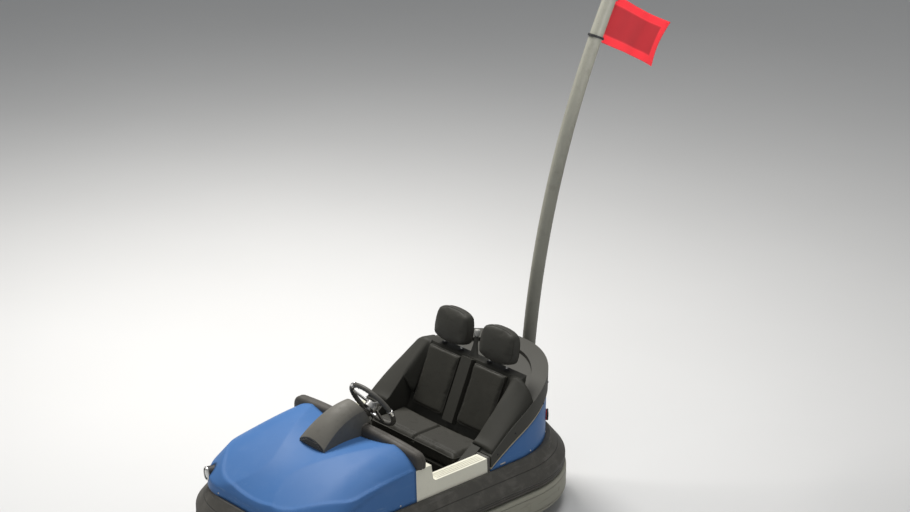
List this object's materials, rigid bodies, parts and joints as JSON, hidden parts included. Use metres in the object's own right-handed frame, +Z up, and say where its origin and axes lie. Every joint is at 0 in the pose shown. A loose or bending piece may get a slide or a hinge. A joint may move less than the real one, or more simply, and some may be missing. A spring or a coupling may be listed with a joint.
{
  "type": "two-seat bumper car with contact mast",
  "caption": "Two-seat fairground bumper car: rubber bumper ring round a blue body, padded bench with headrests, steered drive wheel, leaning contact mast and flag.",
  "frame": {"origin": "on the floor under the middle of the whole object's box, mast and flag included", "axes": "+X forward along the car, +Y to the riders' left, +Z up"},
  "size_m": [3.0214, 1.1606, 2.7054],
  "materials": {
    "frame_paint": "satin black frame paint",
    "motor_paint": "plain grey motor enamel",
    "band_rubber": "light grey rubber band, scuffed",
    "dark_rubber": "dark grey rubber, matt",
    "floor_paint": "dark floor sheet, worn",
    "blue_paint": "gloss blue body colour on a moulded shell",
    "dash_vinyl": "grey-brown padded moulding",
    "dark_plastic": "black plastic",
    "cream_plastic": "cream moulded sill",
    "tan_trim": "tan edge strip",
    "grey_plastic": "grey moulded coaming",
    "seat_shell": "dark grey moulded tub",
    "seat_vinyl": "dark vinyl upholstery",
    "headrest_vinyl": "grey vinyl upholstery",
    "steel": "bright steel",
    "clear_lens": "clear ribbed lamp lens",
    "red_lens": "red lamp lens",
    "cast_rim": "cast wheel",
    "tyre": "solid rubber tyre",
    "grip_rubber": "black moulded grip",
    "mast_paint": "grey-cream mast paint",
    "contact_brass": "worn contact metal",
    "flag_cloth": "red flag cloth with a lighter hem"
  },
  "bodies": {
    "car": {"chassis_frame": "frame_paint", "bumper_carrier": "frame_paint", "bumper_band": "band_rubber", "bumper_roll": "dark_rubber", "floor_tray": "floor_paint", "turntable_plate": "frame_paint", "bonnet": "blue_paint", "dash_pad": "dash_vinyl", "dash_panel": "dark_plastic", "scoop": "dash_vinyl", "sills": "cream_plastic", "rear_body": "blue_paint", "rim_trim": "tan_trim", "coaming": "grey_plastic", "rear_deck": "grey_plastic", "seat_tub": "seat_shell", "seat_cushion": "seat_vinyl", "back_pads": "seat_vinyl", "headrests": "headrest_vinyl", "headrest_posts": "steel", "pedal": "steel", "column_tube": "dark_plastic", "headlamp_bezels": "dark_plastic", "headlamp_lenses": "clear_lens", "tail_lamps": "red_lens", "rear_axle": "steel", "mast_post": "frame_paint", "mast_bracket": "frame_paint", "mast_tube": "mast_paint", "mast_head": "steel", "flag": "flag_cloth", "flag_rings": "dark_plastic"},
    "drive_unit": {"drive_fork": "frame_paint", "drive_axle": "steel", "drive_motor": "motor_paint"},
    "drive_wheel": {"drive_rim": "cast_rim", "drive_tyre": "tyre"},
    "rear_wheel_left": {"rear_rim_left": "cast_rim", "rear_tyre_left": "tyre"},
    "rear_wheel_right": {"rear_rim_right": "cast_rim", "rear_tyre_right": "tyre"},
    "steering_wheel": {"steering_grip": "grip_rubber", "steering_spokes": "steel", "steering_shaft": "steel"},
    "contact_head": {"contact_shoe": "contact_brass"}
  },
  "joints": [
    {"name": "steer", "type": "hinge", "parent": "car", "child": "drive_unit", "pos_m": [1.03842, 0, 0.3], "axis": [0, 0, 1], "continuous": true},
    {"name": "drive_spin", "type": "hinge", "parent": "drive_unit", "child": "drive_wheel", "pos_m": [1.03842, 0, 0.125], "axis": [0, 1, 0], "continuous": true},
    {"name": "rear_spin_left", "type": "hinge", "parent": "car", "child": "rear_wheel_left", "pos_m": [-0.08158, 0.352, 0.1], "axis": [0, 1, 0], "continuous": true},
    {"name": "rear_spin_right", "type": "hinge", "parent": "car", "child": "rear_wheel_right", "pos_m": [-0.08158, -0.352, 0.1], "axis": [0, 1, 0], "continuous": true},
    {"name": "steering_turn", "type": "hinge", "parent": "car", "child": "steering_wheel", "pos_m": [0.59742, 0, 0.704], "axis": [-0.8572, 0, 0.515], "continuous": true},
    {"name": "shoe_tilt", "type": "hinge", "parent": "car", "child": "contact_head", "pos_m": [-1.13298, 0, 2.64143], "axis": [0, 1, 0], "range_deg": [-25, 25], "stiffness_Nm_per_rad": 8}
  ],
  "couplings": [
    {"joint": "steering_turn", "follows": "steer", "ratio": 1}
  ]
}
